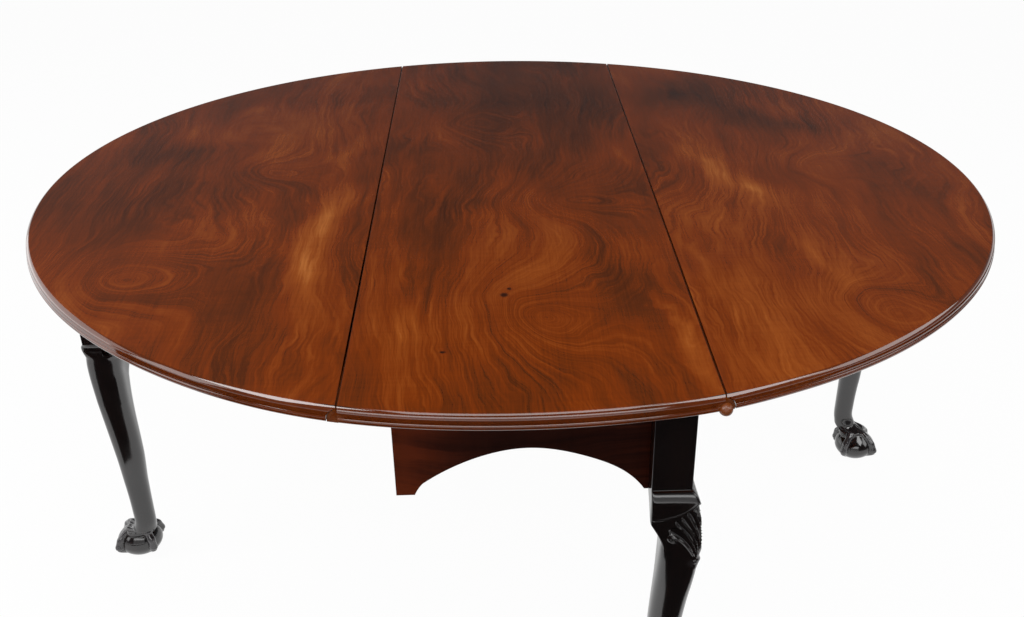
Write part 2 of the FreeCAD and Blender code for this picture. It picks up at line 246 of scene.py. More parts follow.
def grainTone(tree, look, coords, shifted):
    # how pale the wood is, from the streaks, clouds and mottles
    field, cloud = growthField(tree, look, coords, shifted)
    along = shaderNode(tree, "ShaderNodeSeparateXYZ", {0: shifted}).outputs[1]
    clear = noiseNode(tree, shifted, look["clearScale"], 2.0).outputs[0]  # where the fine lines stand out
    clear = rangeNode(tree, clear, look["clearRange"])
    tone = 0.5
    for across, lengthwise, detail, amount in look["streaks"]:
        spot = shaderNode(tree, "ShaderNodeCombineXYZ", {
            0: mathNode(tree, "MULTIPLY", field, across), 1: mathNode(tree, "MULTIPLY", along, lengthwise),
            2: across * look["streakShift"]}).outputs[0]
        streak = noiseNode(tree, spot, 1.0, detail, 0.6).outputs[0]
        if across < look["broadStreak"]:  # the clouds break up along the broad streaks
            tone = mathNode(tree, "MULTIPLY_ADD", cloud, rangeNode(tree, streak, look["splitRange"]), tone)
            share = amount
        else:
            share = mathNode(tree, "MULTIPLY", clear, amount)
        tone = swingNode(tree, streak, share, tone)
    for scale, stretch, amount in look["mottles"]:
        mottle = noiseNode(tree, mapNode(tree, shifted, scale=stretch), scale, 2.0).outputs[0]
        tone = swingNode(tree, mottle, amount, tone)
    return tone


def woodMaterial(name, look):
    material, tree, bsdf = newMaterial(name)
    place = shaderNode(tree, "ShaderNodeTexCoord").outputs["Object"]
    coords = mapNode(tree, place, rotation=look["grainTurn"])  # the grain now runs along y
    shifted = mapNode(tree, coords, look["offset"])
    color = rampNode(tree, grainTone(tree, look, coords, shifted), look["tones"], "LINEAR")
    pores = noiseNode(tree, mapNode(tree, shifted, scale=look["poreStretch"]), 1.0, 1.0).outputs[0]
    poreStart, poreEnd = look["poreRange"]
    poreMask = rampNode(tree, pores, [(poreStart, (0, 0, 0)), (poreEnd, (1, 1, 1))], "LINEAR")
    color = mixColor(tree, mathNode(tree, "MULTIPLY", poreMask, look["poreShade"]), color, look["poreColor"])
    if look["knots"]:
        knots = softSpots(tree, coords, look["knots"], 0.0)
        color = mixColor(tree, mathNode(tree, "MINIMUM", knots, look["knotShade"]), color, look["poreColor"])
    # the worn colour: real wear on the knobs, and on the legs also painted sheen on the carving and a painted
    # highlight on the post's edges
    if look["wornAndSheenAmount"]:
        wearAndSheen = attributeNode(tree, "wearAndSheen")
        paler = mathNode(tree, "MULTIPLY", wearAndSheen, look["wornAndSheenAmount"], clamp=True)
        color = mixColor(tree, paler, color, look["wornAndSheen"])
    scuff = noiseNode(tree, coords, look["scuffScale"], 4.0, 0.6).outputs[0]
    rough = rangeNode(tree, scuff, (*look["scuffRange"], *look["rough"]))
    bsdf.inputs["Specular IOR Level"].default_value = look["specular"]
    if look["rimPolish"]:  # the rim is rubbed to a brighter shine than the flat and its colour is darkened as painted shade, and painted shade lies dark in the rule joints
        polishAndShade = attributeNode(tree, "polishAndShade")
        color = mixColor(tree, attributeNode(tree, "seamShade"), color, look["seamShadeColor"])
        color = mixColor(tree, mathNode(tree, "MULTIPLY", polishAndShade, look["rimShade"]), color, look["rimShadeColor"])
        smoother = mathNode(tree, "SUBTRACT", look["rimRough"], rough)
        rough = mathNode(tree, "MULTIPLY_ADD", polishAndShade, smoother, rough)
        rough = mathNode(tree, "MULTIPLY_ADD", wearAndSheen, look["wornRough"], rough)
        shine = mathNode(tree, "MULTIPLY_ADD", polishAndShade, look["rimPolish"], look["specular"])
        tree.links.new(shine, bsdf.inputs["Specular IOR Level"])
    tree.links.new(color, bsdf.inputs["Base Color"])
    tree.links.new(rough, bsdf.inputs["Roughness"])
    waves = noiseNode(tree, coords, look["waveScale"], 1.0).outputs[0]
    height = mathNode(tree, "MULTIPLY", waves, look["waveDepth"])
    if not look["rimPolish"]:  # the polished top has its pores filled
        height = mathNode(tree, "MULTIPLY_ADD", pores, -look["poreDepth"], height)
    relief = shaderNode(tree, "ShaderNodeBump", {"Height": height, "Strength": 1.0, "Distance": 1.0})
    tree.links.new(relief.outputs[0], bsdf.inputs["Normal"])
    return material


# Finishes

topLook = {
    "offset": (0.0, 0.0, 0.0), "grainTurn": (0, 0, 0), "across": (0.55, 0.0, 0.3),
    "bends": [(2.0, (1.0, 0.5, 1.0), 0.22), (6.5, (1.0, 0.35, 1.0), 0.050), (17.0, (1.0, 0.5, 1.0), 0.022),
              (50.0, (1.0, 0.6, 1.0), 0.006)],  # scale, stretch, amount
    "swirlScale": 4.0, "swirl": 0.13, "clearScale": 4.5, "clearRange": (0.36, 0.64, 0.35, 1.3),
    "streaks": [(24.0, 1.2, 3.0, 0.36), (90.0, 3.0, 2.0, 0.22),
                (380.0, 7.0, 1.5, 0.30)],  # across, lengthwise, detail, amount
    "streakShift": 0.37, "broadStreak": 40.0, "splitRange": (0.34, 0.66, 0.5, 1.4),
    "mottles": [(3.2, (1.0, 0.6, 1.0), 0.36), (10.0, (1.0, 0.40, 1.0), 0.30), (1.0, (10.0, 140.0, 1.0), 0.06),
                (1.0, (300.0, 9.0, 1.0), 0.14)],  # scale, stretch, amount
    "poreStretch": (650.0, 40.0, 300.0), "poreRange": (0.58, 0.74), "poreShade": 0.18,
    "poreColor": (0.020, 0.005, 0.002), "poreDepth": 0.000015,
    "tones": [(0.20, (0.026, 0.0066, 0.0016)), (0.38, (0.082, 0.0165, 0.0020)), (0.52, (0.155, 0.0260, 0.0018)),
              (0.68, (0.240, 0.0540, 0.0064)), (0.88, (0.370, 0.1150, 0.0210))],
    "wornAndSheen": (0.140, 0.032, 0.003), "wornAndSheenAmount": 0.9, "wornRough": 0.15,
    "scuffScale": 7.0, "scuffRange": (0.3, 0.7), "rough": (0.12, 0.19), "specular": 0.5,
    "waveScale": 11.0, "waveDepth": 0.00006, "seamShadeColor": (0.006, 0.003, 0.002),
    # rim: polish gives a brighter shine, and painted shade darkens its colour
    "rimPolish": 0.5, "rimRough": 0.06, "rimShade": 0.7, "rimShadeColor": (0.075, 0.0130, 0.0010),
    "clouds": [], "eyes": [], "knots": [], "knotShade": 0.94,
}
boardFigures = {  # metres on the table top: x, y, half width, half length, turn, amount
    # the wide dark clouds at positive y make each board darker towards the back
    "top_center_board": {
        "offset": (3.1, 1.7, 0.4),
        "clouds": [(0.0, 0.42, 0.6, 0.9, 0, -0.20), (0.150, -0.47, 0.09, 0.24, -10, -0.20),
                   (-0.055, -0.09, 0.13, 0.12, 20, -0.14), (0.0, 0.80, 0.45, 0.45, 0, -0.16),
                   (0.0, -0.80, 0.5, 0.30, 0, -0.08), (-0.195, -0.42, 0.024, 0.46, 4, 0.18),
                   (0.212, -0.64, 0.028, 0.30, 12, 0.22), (0.205, 0.13, 0.035, 0.26, 8, 0.12)],
        "eyes": [(0.024, -0.565, 0.17, 0.25, 0, 0.17), (0.085, -0.10, 0.17, 0.25, 10, 0.15),
                 (-0.06, 0.33, 0.15, 0.26, -8, 0.13)],
        "knots": [(-0.030, -0.491, 0.010, 0.012, 0, 2.4), (-0.022, -0.470, 0.006, 0.008, 0, 2.0),
                  (-0.117, -0.668, 0.008, 0.007, 0, 1.6)],
    },
    "left_leaf": {
        "offset": (-7.3, 0.9, 1.1),
        "clouds": [(-0.68, -0.22, 0.24, 0.34, 0, -0.18), (-0.48, 0.50, 0.42, 0.45, 0, -0.08),
                   (-0.62, 0.0, 0.35, 0.5, 0, -0.06), (-0.315, -0.22, 0.06, 0.30, -8, 0.36),
                   (-0.35, -0.36, 0.06, 0.20, 12, 0.20), (-0.322, 0.19, 0.045, 0.24, -6, 0.17),
                   (-0.62, 0.20, 0.30, 0.12, 18, -0.16), (-0.45, -0.12, 0.045, 0.20, 14, 0.13),
                   (-0.47, 0.30, 0.05, 0.14, 22, 0.12), (-0.256, -0.62, 0.016, 0.24, 0, 0.15)],
        "eyes": [(-0.58, -0.40, 0.20, 0.20, 0, 0.17), (-0.52, 0.34, 0.10, 0.10, 0, 0.10),
                 (-0.45, 0.08, 0.12, 0.13, 0, 0.09)],
    },
    "right_leaf": {
        "offset": (5.9, -3.2, 2.3),
        "clouds": [(0.40, 0.52, 0.34, 0.42, 0, -0.22), (0.66, -0.36, 0.36, 0.36, 0, 0.02),
                   (0.41, -0.03, 0.05, 0.22, 28, 0.22), (0.35, 0.10, 0.045, 0.16, 20, 0.12),
                   (0.285, -0.40, 0.03, 0.28, 5, 0.14), (0.56, 0.34, 0.28, 0.14, -20, -0.12),
                   (0.45, -0.36, 0.04, 0.28, 8, 0.11), (0.62, -0.12, 0.10, 0.20, 0, 0.06)],
        "eyes": [(0.57, 0.06, 0.16, 0.15, 0, 0.14), (0.51, -0.57, 0.16, 0.20, 20, 0.14)],
    },
}
# the apron's two clouds are paler patches near one end of each apron: painted light
apronLook = dict(topLook, offset=(1.3, 4.4, 0.2), grainTurn=(0, 0, math.pi / 2), across=(0.4, 0.0, 0.8),
                 rough=(0.34, 0.48), specular=0.06, wornAndSheenAmount=0.0, rimPolish=0.0,
                 clouds=[(0.65, -0.20, 0.5, 0.17, 0, 0.42), (-0.65, 0.20, 0.5, 0.17, 0, 0.42)],
                 tones=[(0.25, (0.0080, 0.0016, 0.0010)), (0.52, (0.032, 0.0050, 0.0014)),
                        (0.80, (0.095, 0.0140, 0.0020))])
# the legs' worn colour is a pale blue-grey: wear, and painted sheen on the carved ridges and toes
legLook = dict(topLook, offset=(2.2, -1.3, 0.7), grainTurn=(math.pi / 2, 0, 0), across=(1.0, 0.0, 0.8),
               rough=(0.11, 0.17), specular=0.95, poreShade=0.2, rimPolish=0.0, waveDepth=0.00010,
               waveScale=24.0, wornAndSheen=(0.050, 0.046, 0.050), wornAndSheenAmount=0.8,
               tones=[(0.25, (0.0020, 0.0010, 0.0010)), (0.55, (0.0050, 0.0022, 0.0020)),
                      (0.85, (0.0130, 0.0044, 0.0030))])
railLook = dict(apronLook, offset=(0.4, 2.9, 3.3), grainTurn=(0, 0, 0), clouds=[], rough=(0.5, 0.66),
                specular=0.2)
oakLook = dict(railLook, offset=(4.4, 0.3, 1.9), rough=(0.62, 0.8), specular=0.25, poreShade=0.5,
               poreColor=(0.07, 0.035, 0.016),
               tones=[(0.25, (0.12, 0.062, 0.030)), (0.55, (0.24, 0.135, 0.068)),
                      (0.85, (0.36, 0.225, 0.120))])

boardWood = {name: woodMaterial("mahogany_" + name, dict(topLook, **figure))
             for name, figure in boardFigures.items()}
apronWood = woodMaterial("mahogany_apron", apronLook)
legWood = woodMaterial("mahogany_leg", legLook)
railWood = woodMaterial("rail_hardwood", railLook)
oakWood = woodMaterial("inner_oak", oakLook)

ironLook = {"patchScale": 160.0, "patchRange": (0.35, 0.65), "rough": (0.38, 0.7), "metal": 0.85,
            "pitDepth": 0.0004, "pitStrength": 0.35,
            "tones": [(0.3, (0.020, 0.017, 0.015)), (0.55, (0.075, 0.068, 0.062)),
                      (0.75, (0.085, 0.045, 0.024))]}


def ironMaterial(name, look):
    material, tree, bsdf = newMaterial(name)
    coords = shaderNode(tree, "ShaderNodeTexCoord").outputs["Object"]
    patches = noiseNode(tree, coords, look["patchScale"], 5.0, 0.65).outputs[0]
    tree.links.new(rampNode(tree, patches, look["tones"]), bsdf.inputs["Base Color"])
    rough = rangeNode(tree, patches, (*look["patchRange"], *look["rough"]))
    tree.links.new(rough, bsdf.inputs["Roughness"])
    bsdf.inputs["Metallic"].default_value = look["metal"]
    pits = shaderNode(tree, "ShaderNodeBump", {
        "Height": patches, "Strength": look["pitStrength"], "Distance": look["pitDepth"]})
    tree.links.new(pits.outputs[0], bsdf.inputs["Normal"])
    return material


hingeIron = ironMaterial("hinge_iron", ironLook)
print("finishes made")


# Top boards

topShape = {
    "radius": 0.84, "top": 0.710, "under": 0.688, "steps": 360, "arcSteps": 8, "smoothAngle": 32,
    "cutReach": 1.0, "cutTop": 0.74, "cutUnder": 0.65,  # how far the cutting shapes go
    "outOfRound": [(-0.358, 0.25, 0.0085), (0.28, 0.10, 0.0028)],  # turn, width, amount
    "roundSpan": (0.70, 0.83), "leastRadius": 0.1,
    # moulded rim: a nosing, a quirk and a bead
    "flatRadius": 0.5, "quirk": 0.0012, "quirkNick": (0.0005, 0.0007),
    "nosing": [(6.6, 0.0), (6.2, 0.07), (5.8, 0.24), (5.2, 0.58), (4.6, 1.0), (3.9, 1.55), (3.2, 2.2),
               (2.5, 2.95), (1.9, 3.7), (1.35, 4.5), (0.9, 5.3), (0.5, 6.3), (0.2, 7.4), (0.05, 8.6),
               (0.0, 10.0), (0.0, 11.8)],  # inward and down, mm
    "beadLean": 0.9, "beadArc": (50, -52), "beadUndercut": 0.008,
    # rule joints along the seams
    "seamHalf": 0.244, "seamGap": 0.0015, "seamWear": 0.0006, "edgeEase": 0.0005, "easeSteps": 4,
    "ruleStep": 0.004, "pinRise": 0.004, "ruleClear": 0.001, "ovoloBury": 0.0006,
    # worn knobs where two of the joints end
    "knobRadius": 0.8376, "knobMiddle": 0.0012, "knobHeight": 0.6915, "knobProud": 0.0015,
    "knobSize": (0.0094, 0.0112, 0.0086), "knobSteps": (36, 24),
    "knobFar": 0.834, "knobReach": 0.0097, "knobAside": 0.0004,
    # room for the hinges
    "hingeStations": (-0.48, 0.0, 0.48), "hingeHalf": 0.0354, "boardReach": 0.0343, "leafReach": 0.0523,
    "plateDepth": 0.0024, "plateLap": 0.001, "flapRoom": 0.0014, "flapReach": 0.02, "pocketBelow": 0.01,
    "barrelHalf": 0.0052, "barrelDepth": 0.0085,
    # polish and painted shade on the rim, and painted shade in the seams
    "rimStart": 0.825, "polishAndShadeDepth": (0.00002, 0.0008), "seamShadeReach": 0.02, "seamShadeLow": 0.001,
}
pinX = topShape["seamHalf"] - topShape["seamGap"] / 2
pinZ = topShape["under"] + topShape["pinRise"]
leafEdge = topShape["seamHalf"] + topShape["seamGap"] / 2 + topShape["seamWear"]
neckRadius = topShape["radius"] - topShape["quirk"]
ruleRadius = topShape["top"] - topShape["ruleStep"] - pinZ


def arcPoints(centre, radius, startDegrees, endDegrees, steps, squash=1.0):
    spots = []
    for k in range(steps + 1):
        t = math.radians(startDegrees + (endDegrees - startDegrees) * k / steps)
        spots.append((centre[0] + radius * math.cos(t), centre[1] + radius * squash * math.sin(t)))
    return spots


def rimProfile():
    s = topShape
    quirkTop = s["top"] - s["nosing"][-1][1] / 1000
    beadTop = quirkTop - s["quirk"]
    nose = [(neckRadius - inward / 1000, s["top"] - down / 1000) for inward, down in s["nosing"]]
    nick = (neckRadius - s["quirkNick"][0], quirkTop - s["quirkNick"][1])
    beadHalf, lean = (beadTop - s["under"]) / 2, s["beadLean"]
    bead = arcPoints((s["radius"] - beadHalf * lean, beadTop - beadHalf), beadHalf * lean, *s["beadArc"],
                     s["arcSteps"] + 2, 1 / lean)
    return ([(0.0, s["top"]), (s["flatRadius"], s["top"])] + nose + [nick] + bead
            + [(s["radius"] - s["beadUndercut"], s["under"]), (0.0, s["under"])])


def moulded():
    bm = bmesh.new()
    spunLine(bm, [(x, 0, z) for x, z in rimProfile()], topShape["steps"])
    bmesh.ops.remove_doubles(bm, verts=bm.verts, dist=meshCare["mergeDistance"])
    bmesh.ops.recalc_face_normals(bm, faces=bm.faces)
    return bm


def seamPrism(side, points):
    # a section across a seam, drawn out along it through the whole top
    bm = bmesh.new()
    reach = topShape["cutReach"]
    face = bm.faces.new([bm.verts.new((side * x, -reach, z)) for x, z in points])
    shiftGrown(bm, bmesh.ops.extrude_face_region(bm, geom=[face]), (0, 2 * reach, 0))
    bmesh.ops.recalc_face_normals(bm, faces=bm.faces)
    return bm


def hingePockets(side, near, far, depth):
    s = topShape
    bm = bmesh.new()
    low, high = sorted((side * near, side * far))
    for y in s["hingeStations"]:
        boxMesh(bm, (low, y - s["hingeHalf"], s["under"] - s["pocketBelow"]),
                (high, y + s["hingeHalf"], s["under"] + depth))
    return bm


def easedCorner(x, inward):
    # rounded top edge along a seam, drawn from the seam up to the top face
    s = topShape
    centre = (x + inward * s["edgeEase"], s["top"] - s["edgeEase"])
    start = 180 if inward > 0 else 0
    return arcPoints(centre, s["edgeEase"], start, 90, s["easeSteps"]) + [(centre[0], s["cutTop"])]


def makeLeaf(side):
    s = topShape
    reach = ruleRadius + s["ruleClear"]
    lip = pinZ + math.sqrt(reach ** 2 - (leafEdge - pinX) ** 2)
    start = math.degrees(math.acos((leafEdge - pinX) / reach))
    hollow = arcPoints((pinX, pinZ), reach, start, 0, s["arcSteps"])
    outline = ([(-s["cutReach"], s["cutTop"])] + easedCorner(leafEdge, 1)[::-1] + [(leafEdge, lip)]
               + hollow[1:] + [(pinX + reach, s["cutUnder"]), (-s["cutReach"], s["cutUnder"])])
    bm = carved(moulded(), seamPrism(side, outline), "DIFFERENCE")
    plates = hingePockets(side, pinX + ruleRadius - s["plateLap"], pinX + s["leafReach"], s["plateDepth"])
    return carved(bm, plates, "DIFFERENCE")


def ovolo(side):
    s = topShape
    rise = arcPoints((pinX, pinZ), ruleRadius, 90, 0, s["arcSteps"] + 2)
    inner = pinX - s["ovoloBury"]
    bm = seamPrism(side, [(inner, s["top"] - s["ruleStep"])] + rise
                   + [(pinX + ruleRadius, s["under"]), (inner, s["under"])])
    for v in bm.verts:
        v.co.y = math.copysign(math.sqrt(s["knobRadius"] ** 2 - v.co.x ** 2), v.co.y)
    return bm


def knob(side, end):
    # worn round end of the ovolo, standing a little out of the rim
    s = topShape
    x = side * (pinX + s["knobMiddle"])
    y = end * (math.sqrt(s["knobRadius"] ** 2 - x ** 2) + s["knobProud"])
    bm = bmesh.new()
    bmesh.ops.create_uvsphere(bm, u_segments=s["knobSteps"][0], v_segments=s["knobSteps"][1], radius=1.0)
    place = Matrix.Translation((x, y, s["knobHeight"])) @ Matrix.Diagonal((*s["knobSize"], 1))
    bmesh.ops.transform(bm, matrix=place, verts=bm.verts)
    return bm


def makeCenterBoard():
    s = topShape
    rightSide = [(pinX, s["cutUnder"])] + easedCorner(pinX, -1)
    slab = seamPrism(1, rightSide + [(-x, z) for x, z in rightSide[::-1]])
    bm = carved(moulded(), slab, "INTERSECT")
    for side in (-1, 1):
        bm = carved(bm, ovolo(side), "UNION")
        bm = carved(bm, knob(side, -side), "UNION")
    flapEnd = pinX + s["flapReach"]
    for side in (-1, 1):
        for near, far, depth in (
                (pinX - s["boardReach"], flapEnd, s["plateDepth"]),
                (pinX, flapEnd, s["plateDepth"] + s["flapRoom"]),  # flaps of a lifted leaf
                (pinX - s["barrelHalf"], pinX + s["barrelHalf"], s["barrelDepth"])):
            bm = carved(bm, hingePockets(side, near, far, depth), "DIFFERENCE")
    return bm


def ageBoard(bm, hasKnobs):
    # marks worn knobs, the rim's polish with its painted shade and the painted shade in the seams, and draws
    # the old top a little out of round at the front
    s = topShape
    wornAndSheen, polishAndShade, seamShade = (bm.verts.layers.float.new(key) for key in ("wearAndSheen", "polishAndShade", "seamShade"))
    for v in bm.verts:
        far = v.co.xy.length
        aside = math.hypot(abs(v.co.x) - pinX - s["knobMiddle"], v.co.z - s["knobHeight"])
        onKnob = (hasKnobs and far > s["knobFar"]
                  and (aside < s["knobReach"] or abs(v.co.x) > pinX + s["knobAside"]))
        onFlat = far < s["rimStart"]
        v[wornAndSheen] = 1.0 if onKnob else 0.0
        # the polish mask also sets where the rim's painted shade lies
        v[polishAndShade] = 0.0 if onKnob or onFlat else smoothStep(*s["polishAndShadeDepth"], s["top"] - v.co.z)
        # painted shade down in the seam gaps of the rule joints
        inSeam = (abs(abs(v.co.x) - s["seamHalf"]) < s["seamShadeReach"]
                  and s["under"] + s["seamShadeLow"] < v.co.z < s["top"] - s["polishAndShadeDepth"][0])
        v[seamShade] = 1.0 if inSeam and far < s["knobFar"] else 0.0
        turn = math.atan2(v.co.x, -v.co.y)
        grow = sum(amount * bump(turn, centre, width) for centre, width, amount in s["outOfRound"])
        v.co.xy *= 1 + grow * smoothStep(*s["roundSpan"], far) / max(far, s["leastRadius"])


for boardName, body, bm in (
        ("top_center_board", "frame", makeCenterBoard()), ("left_leaf", "left_leaf", makeLeaf(-1)),
        ("right_leaf", "right_leaf", makeLeaf(1))):
    ageBoard(bm, boardName == "top_center_board")
    board = newPiece(boardName + "_mahogany", bm, body, boardWood[boardName],
                     topShape["smoothAngle"])
    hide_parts(boardName)
print("top boards made")


# Cabriole legs

legShape = {
    "postHalf": 0.030, "postBottom": 0.490, "postEase": 0.0009, "edgeSheen": 0.9, "edgeShare": 0.98,
    "around": 224, "shaftTop": 0.4915, "ringSteps": [(0.484, 0.0005), (0.326, 0.0013), (0.0, 0.0045)],
    "earTop": 0.433, "earLow": 0.388, "earInner": 0.062, "earPower": 1.6,
    "roundPower": 3.4, "roundSpan": (0.488, 0.455), "carvedLow": (0.325, 0.335), "carvedTop": (0.487, 0.480),
    "carvedFacing": (-0.1, 0.5), "gateRidge": (-0.62, -0.42),
    "sections": [  # height, outward offset, half size, squareness, knee swell
        (0.4945, 0.0, 0.0292, 26.0, 0.0), (0.4898, 0.0, 0.0296, 26.0, 0.0),
        (0.4886, 0.0026, 0.0297, 24.0, 0.0), (0.4865, 0.0056, 0.0298, 21.0, 0.0003),
        (0.484, 0.0085, 0.0299, 19.0, 0.0006), (0.481, 0.0111, 0.0300, 17.0, 0.0010),
        (0.478, 0.0130, 0.0300, 15.5, 0.0014), (0.474, 0.0147, 0.0301, 14.0, 0.0020),
        (0.460, 0.0178, 0.0302, 11.0, 0.0040), (0.440, 0.0210, 0.0305, 9.0, 0.0060),
        (0.415, 0.0235, 0.0296, 6.5, 0.0060), (0.380, 0.0235, 0.0281, 4.0, 0.0040),
        (0.330, 0.0200, 0.0263, 2.8, 0.0020), (0.270, 0.0125, 0.0240, 2.4, 0.0010),
        (0.210, 0.0065, 0.0216, 2.3, 0.0), (0.150, 0.0030, 0.0192, 2.25, 0.0),
        (0.112, 0.0022, 0.0186, 2.2, 0.0), (0.092, 0.0040, 0.0190, 2.1, 0.0),
        (0.076, 0.0100, 0.0210, 2.0, 0.0)],
    # height, thickness, how far in the shaft stands
    "fixedFill": [(0.46, 1.0, 0.0), (0.30, 1.14, 0.0), (0.21, 1.18, 0.0), (0.12, 1.08, 0.0), (0.08, 1.05, 0.0)],
    "gateFill": [(0.488, 1.0, 0.0), (0.46, 1.01, 0.0095), (0.38, 1.04, 0.0125), (0.25, 1.08, 0.0120),
                 (0.18, 1.05, 0.0075), (0.12, 1.06, 0.0070), (0.08, 1.05, 0.0085)],
    "ankleEnd": 0.075, "instepRings": 16, "instepDrop": (1.25, 0.25), "instepFlow": 1.6, "wearAndSheenRise": 0.0060,
    "footOffset": 0.034, "footWaist": 0.82, "footSpread": 0.33, "footStart": 33.0, "footEnd": 168.0,
    "footStep": 1.7, "ballRadius": 0.038, "ballHeight": 0.0334, "ballSquash": 0.90, "smoothAngle": 50,
}


def sectionAt(z):
    rows = legShape["sections"]
    k = 0
    while k < len(rows) - 2 and z < rows[k + 1][0]:
        k += 1
    low, a, b, high = rows[max(k - 1, 0)], rows[k], rows[k + 1], rows[min(k + 2, len(rows) - 1)]
    span = b[0] - a[0]
    t = min(max((z - a[0]) / span, 0.0), 1.0)
    values = []
    for p, q, r, s in zip(low[1:], a[1:], b[1:], high[1:]):
        leave = (r - p) / (b[0] - low[0]) * span
        arrive = (s - q) / (high[0] - a[0]) * span
        values.append(q + t * leave + t * t * (3 * (r - q) - 2 * leave - arrive)
                      + t ** 3 * (2 * (q - r) + leave + arrive))
    return values


def squarePoint(angle, power):
    # even steps along a square, drawn in to a rounder section as the squareness falls
    turn = (angle + math.pi / 4) / (math.pi / 2) % 4
    side = int(turn)
    s = 2 * (turn - side) - 1
    x, y = ((1, s), (-s, 1), (-1, -s), (s, -1))[side]
    grow = (abs(x) ** power + abs(y) ** power) ** (-1 / power)
    return x * grow, y * grow


# Shell carved on the knee, in millimetres on one face: across is 0 at the knee's ridge and
# grows negative toward the ear, z is the height
shellShape = {
    "rootAcross": -8.0, "rootZ": 373.0, "bend": 18.0, "bendReach": 72.0, "faceWidth": 62.0, "scallop": 5.0,
    "ribs": (37.0, 20.7, 12.5, 4.2, -3.0, -13.0), "reaches": (67.0, 76.0, 81.0, 91.0, 103.0),
    "fluteDepth": 3.6, "fluteStart": (4, 24), "fluteGrow": 50, "fluteEdge": 4.5, "fluteFloor": (5, 0.9),
    "ribLift": 0.7, "ribSharp": 14, "rimLift": 1.7, "rimPlace": (1.0, 1.6), "rimTurn": 10, "rimStart": (6, 16),
    "rimEnd": (60, 52),
    "browLow": 445.0, "browRise": 29.0, "browPower": 2.3, "browStep": 2.6, "browEdge": (1.2, -1.6),
    "browFade": (-75, -35), "browLip": 0.5, "lipPlace": (1.5, 2.2), "browClear": (0.5, 4.0),
    "scrollAcross": -40.0, "scrollZ": 413.0, "scrollSize": 7.5, "scrollLift": 2.2, "scrollFade": (1.15, 0.7),
    "coilPitch": 4.6, "coilRelief": (0.75, 0.4), "earFade": (-61.5, -55),
    "huskReach": 12.0, "huskLift": 1.5, "huskPlace": (3.0, 1.0), "huskSquash": 0.8, "huskTop": (4, -3),
    "huskLayers": ((1.0, 1.0), (1.6, 0.75)), "huskEdge": 6.0, "petals": 5, "petalDepth": 0.10,
}


def kneeCarving(across, z):
    s = shellShape
    dx, dz = across - s["rootAcross"], z - s["rootZ"]
    reach = math.hypot(dx, dz)
    turn = math.degrees(math.atan2(-dx, dz)) + s["bend"] * (1 - reach / s["bendReach"])
    brow = s["browLow"] + s["browRise"] * max(0.0, 1 + across / s["faceWidth"]) ** s["browPower"]
    height = -s["browStep"] * smoothStep(*s["browEdge"], z - brow) * smoothStep(*s["browFade"], z - brow)
    height += s["browLip"] * bump(z - brow, *s["lipPlace"])
    ribs = s["ribs"]
    if dz > 0 and ribs[-1] < turn < ribs[0] + s["rimTurn"]:
        for k, far in enumerate(s["reaches"]):
            if ribs[k + 1] <= turn < ribs[k]:
                t = 2 * (ribs[k] - turn) / (ribs[k] - ribs[k + 1]) - 1
                inside = smoothStep(0, s["fluteEdge"], far - s["scallop"] * t * t - reach)
                inside *= smoothStep(*s["fluteStart"], reach) * smoothStep(*s["browClear"], brow - z)
                square, ease = s["fluteFloor"]
                hollow = (1 - abs(t) ** square) ** ease * min(1.0, reach / s["fluteGrow"])
                height += inside * (s["ribLift"] * abs(t) ** s["ribSharp"] - s["fluteDepth"] * hollow)
        rim = bump(reach * math.radians(turn - ribs[0]), *s["rimPlace"])
        height += s["rimLift"] * rim * smoothStep(*s["rimStart"], reach) * smoothStep(*s["rimEnd"], reach)
    swirlX, swirlZ = across - s["scrollAcross"], z - s["scrollZ"]
    swirl = math.hypot(swirlX, swirlZ)
    outer, inner = s["scrollFade"]
    if swirl < s["scrollSize"] * outer:
        coil = math.cos(2 * math.pi * swirl / s["coilPitch"] + math.atan2(swirlZ, swirlX))
        height += (s["scrollLift"] * smoothStep(s["scrollSize"] * outer, s["scrollSize"] * inner, swirl)
                   * (s["coilRelief"][0] + s["coilRelief"][1] * coil))
    hx, hz = across + s["huskPlace"][0], dz - s["huskPlace"][1]
    bud = math.hypot(hx, hz * s["huskSquash"])
    below = smoothStep(*s["huskTop"], hz)
    petal = math.atan2(-hx, -hz)
    for size, lift in s["huskLayers"]:
        edge = s["huskReach"] * size * (1 + s["petalDepth"] * math.cos(s["petals"] * petal))
        height += below * s["huskLift"] * lift * smoothStep(edge, edge - s["huskEdge"], bud)
    return height * smoothStep(*s["earFade"], across)


# Claw and ball foot: degrees are counted from the top of the ball down
toeShape = {
    "height": 0.0078, "width": 0.0062, "base": 0.001, "roundness": 0.55, "flare": 0.25, "flareSpan": (60, 30),
    "knuckles": [(48, 9, 0.0008), (69, 9, 0.0017), (94, 8, 0.0016)], "knuckleWide": 0.0012,
    "toeRise": (30.0, 58.0), "rootShare": (0.7, 0.3), "spreadSpan": (28, 100),
    "talonStart": 102.0, "talonEnd": 134.0, "talonPower": 0.8, "talonThin": 0.86,
    "grooveTurn": 2.2, "grooveDeep": 0.0008, "grooveNarrow": 0.0006,
    "capHeight": 0.0036, "capLow": 36.0, "capToe": 26.0, "capHeel": 14.0, "capFade": 7,
    "capLip": 0.0006, "lipPlace": (4, 3.0), "capWearAndSheen": 0.5,
    "heelFill": 0.80, "heelTurn": (-0.35, 0.75), "heelSpan": (100, 80),
}


